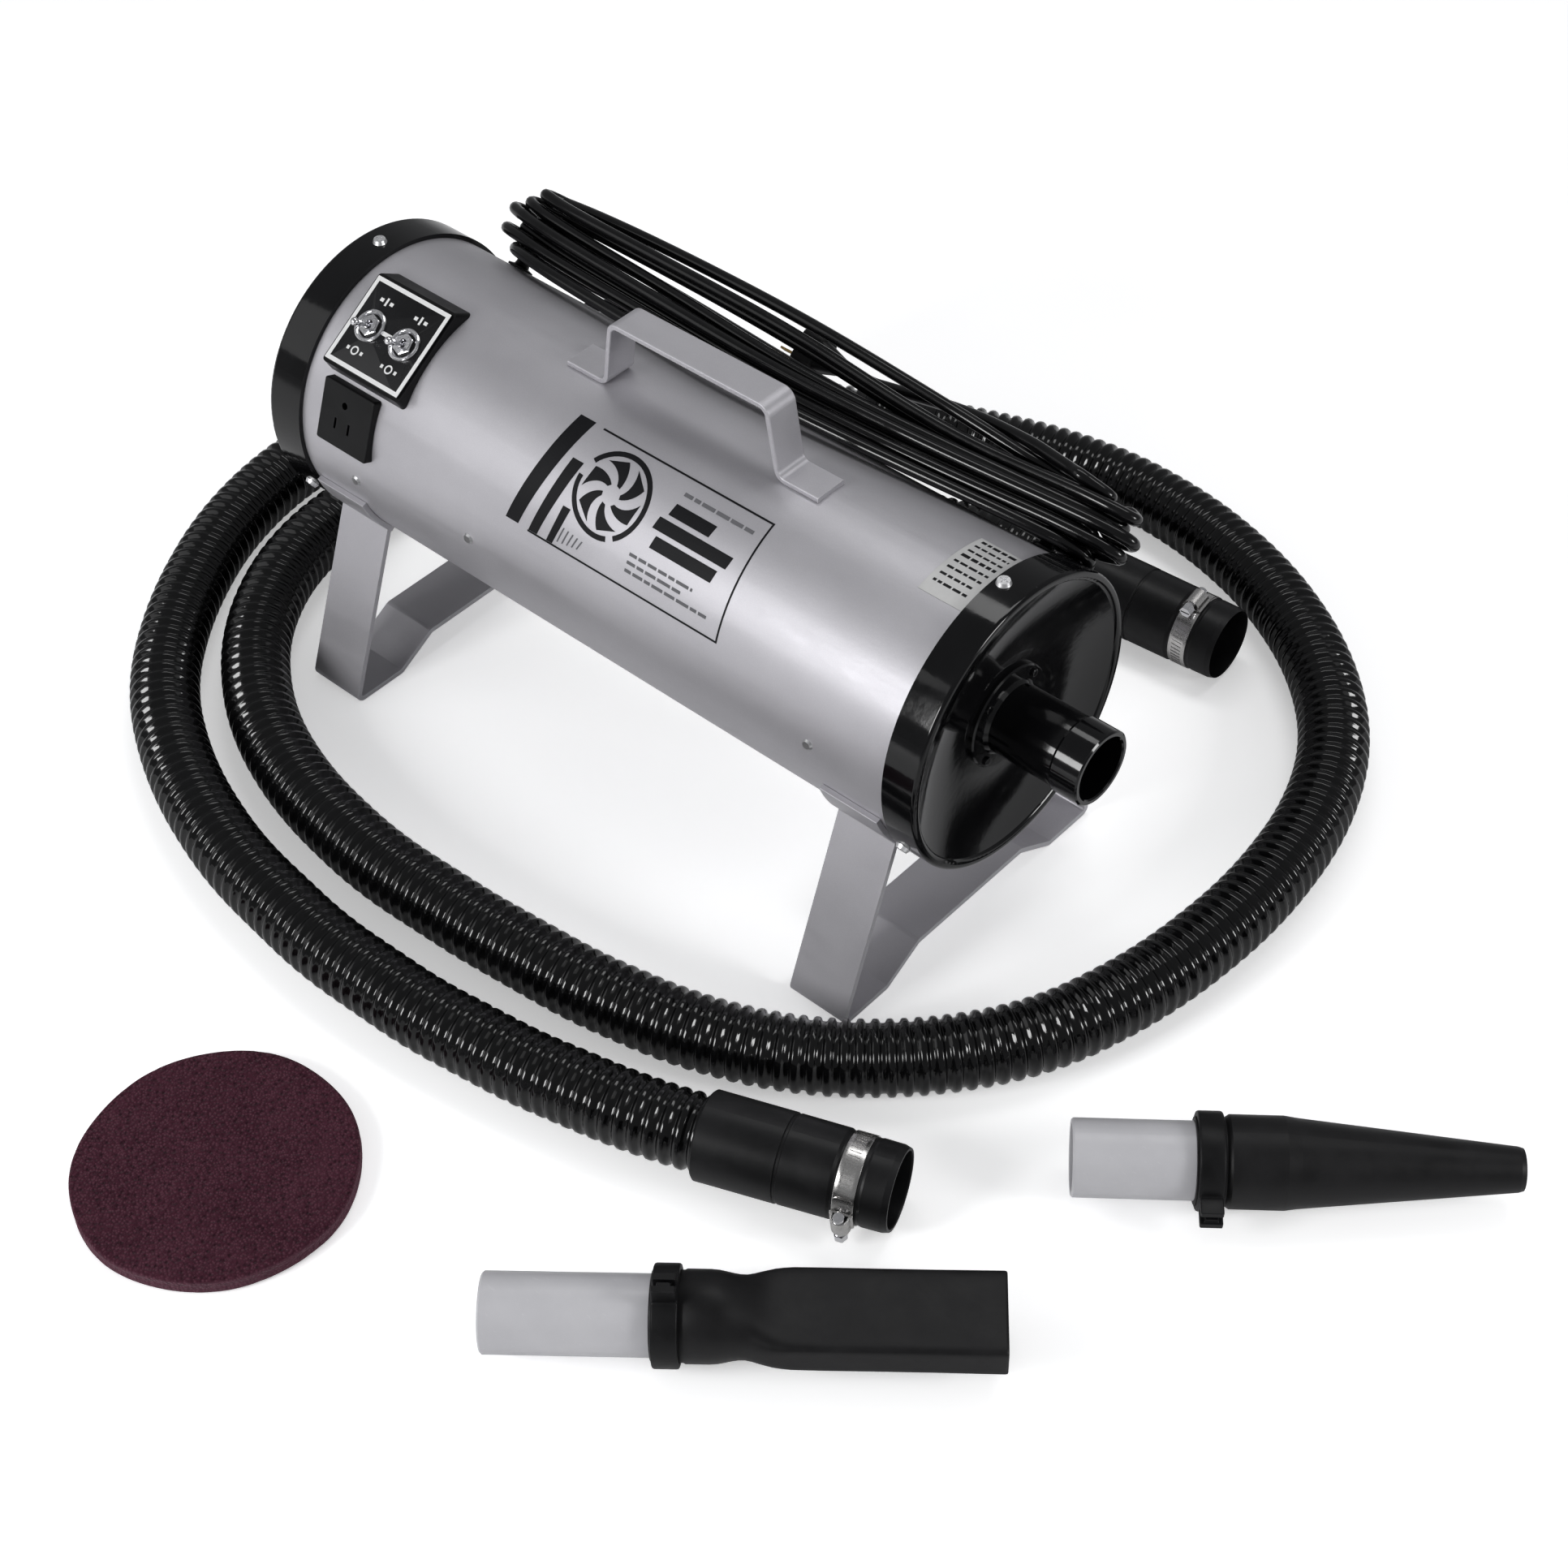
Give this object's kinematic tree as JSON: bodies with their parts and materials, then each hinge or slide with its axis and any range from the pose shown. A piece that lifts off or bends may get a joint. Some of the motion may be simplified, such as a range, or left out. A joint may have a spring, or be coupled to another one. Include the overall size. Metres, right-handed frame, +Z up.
{
  "type": "pet dryer",
  "caption": "Force dryer for pets: painted tube blower on strap legs with handle, twin toggle switches, ribbed hose with cuffs, cone and flat nozzles, spare foam filter.",
  "frame": {"origin": "centre of the whole layout's bounding box, on the floor", "axes": "+X along the blower's tube towards the outlet, +Z up, -Y the side with the switches"},
  "size_m": [1.1167, 0.9966, 0.3528],
  "materials": {
    "silver_paint": "semi-gloss silver paint",
    "black_paint": "gloss black paint",
    "black_gloss": "gloss black",
    "black_plastic": "satin black",
    "black_rubber": "satin black rubber",
    "plate_print": "black face plate with a pale frame line",
    "chrome": "bright chrome",
    "steel": "bright zinc-plated steel",
    "label": "pale printed label",
    "hose_vinyl": "gloss black ribbed vinyl",
    "pvc": "grey pipe plastic",
    "foam": "open-cell burgundy foam",
    "brass": "plain brass",
    "motor_steel": "laminated steel",
    "copper": "enamelled copper",
    "carbon": "carbon",
    "mica": "mica sheet",
    "aluminium": "plain aluminium",
    "wire": "insulated wire"
  },
  "bodies": {
    "dryer": {"body_tube": "silver_paint", "front_cap": "black_paint", "outlet_spout": "black_gloss", "spout_screws": "steel", "rear_cap": "black_paint", "cap_screws": "steel", "body_rivets": "steel", "handle": "silver_paint", "rear_leg": "silver_paint", "front_leg": "silver_paint", "switch_box": "black_plastic", "switch_plate": "plate_print", "toggle_bodies": "black_plastic", "toggle_nuts": "chrome", "receptacle": "black_plastic", "power_cord": "black_gloss", "strain_relief": "black_rubber", "cord_posts": "silver_paint", "plug_body": "black_rubber", "plug_prongs": "brass", "rating_label": "label", "intake_filter": "foam", "filter_retainer": "steel", "bulkhead": "steel", "motor_gasket": "black_rubber", "fan_shell": "steel", "fan_clamps": "steel", "diffuser": "aluminium", "motor_bracket": "aluminium", "motor_end_bracket": "aluminium", "bearings": "steel", "motor_bolts": "steel", "stator_core": "motor_steel", "field_coils": "copper", "carbon_brushes": "carbon", "heater_frame": "mica", "heater_coil": "steel", "heater_band": "steel", "thermal_cutout": "aluminium", "lead_wires": "wire"},
    "hose_set": {"hose": "hose_vinyl", "hose_cuff_a": "black_rubber", "hose_cuff_b": "black_rubber", "clamp_bands": "steel"},
    "clamp_screw_a": {"clamp_screw_a": "steel"},
    "clamp_screw_b": {"clamp_screw_b": "steel"},
    "cone_nozzle_set": {"cone_nozzle_pipe": "pvc", "cone_nozzle": "black_rubber", "snap_clamp_cone": "black_plastic"},
    "flat_nozzle_set": {"flat_nozzle_pipe": "pvc", "flat_nozzle": "black_rubber", "snap_clamp_flat": "black_plastic"},
    "spare_filter": {"spare_filter": "foam"},
    "toggle_lever_left": {"toggle_lever_left": "chrome"},
    "toggle_lever_right": {"toggle_lever_right": "chrome"},
    "rotor": {"impellers": "aluminium", "armature_core": "motor_steel", "armature_windings": "copper", "commutator": "copper", "motor_shaft": "steel"}
  },
  "joints": [
    {"name": "left_toggle", "type": "hinge", "parent": "dryer", "child": "toggle_lever_left", "pos_m": [-0.32895, 0.00903, 0.28722], "axis": [-1, 0, 0], "range_deg": [0, 30]},
    {"name": "right_toggle", "type": "hinge", "parent": "dryer", "child": "toggle_lever_right", "pos_m": [-0.29575, 0.00903, 0.28722], "axis": [-1, 0, 0], "range_deg": [0, 30]},
    {"name": "motor_spin", "type": "hinge", "parent": "dryer", "child": "rotor", "pos_m": [-0.12635, 0.06567, 0.2], "axis": [1, 0, 0], "continuous": true},
    {"name": "hose_lift", "type": "slide", "parent": "dryer", "child": "hose_set", "axis": [0, 0, 1], "range_m": [0, 0.4]},
    {"name": "clamp_screw_a_turn", "type": "hinge", "parent": "hose_set", "child": "clamp_screw_a", "pos_m": [0.26314, -0.19628, 0.0239], "axis": [0.0636, -0.1616, 0.9848], "continuous": true},
    {"name": "clamp_screw_b_turn", "type": "hinge", "parent": "hose_set", "child": "clamp_screw_b", "pos_m": [0.11523, 0.36399, 0.06208], "axis": [-0.0691, 0.9879, 0.1392], "continuous": true},
    {"name": "cone_nozzle_lift", "type": "slide", "parent": "dryer", "child": "cone_nozzle_set", "axis": [0, 0, 1], "range_m": [0, 0.4]},
    {"name": "flat_nozzle_lift", "type": "slide", "parent": "dryer", "child": "flat_nozzle_set", "axis": [0, 0, 1], "range_m": [0, 0.4]},
    {"name": "spare_filter_lift", "type": "slide", "parent": "dryer", "child": "spare_filter", "axis": [0, 0, 1], "range_m": [0, 0.4]}
  ]
}
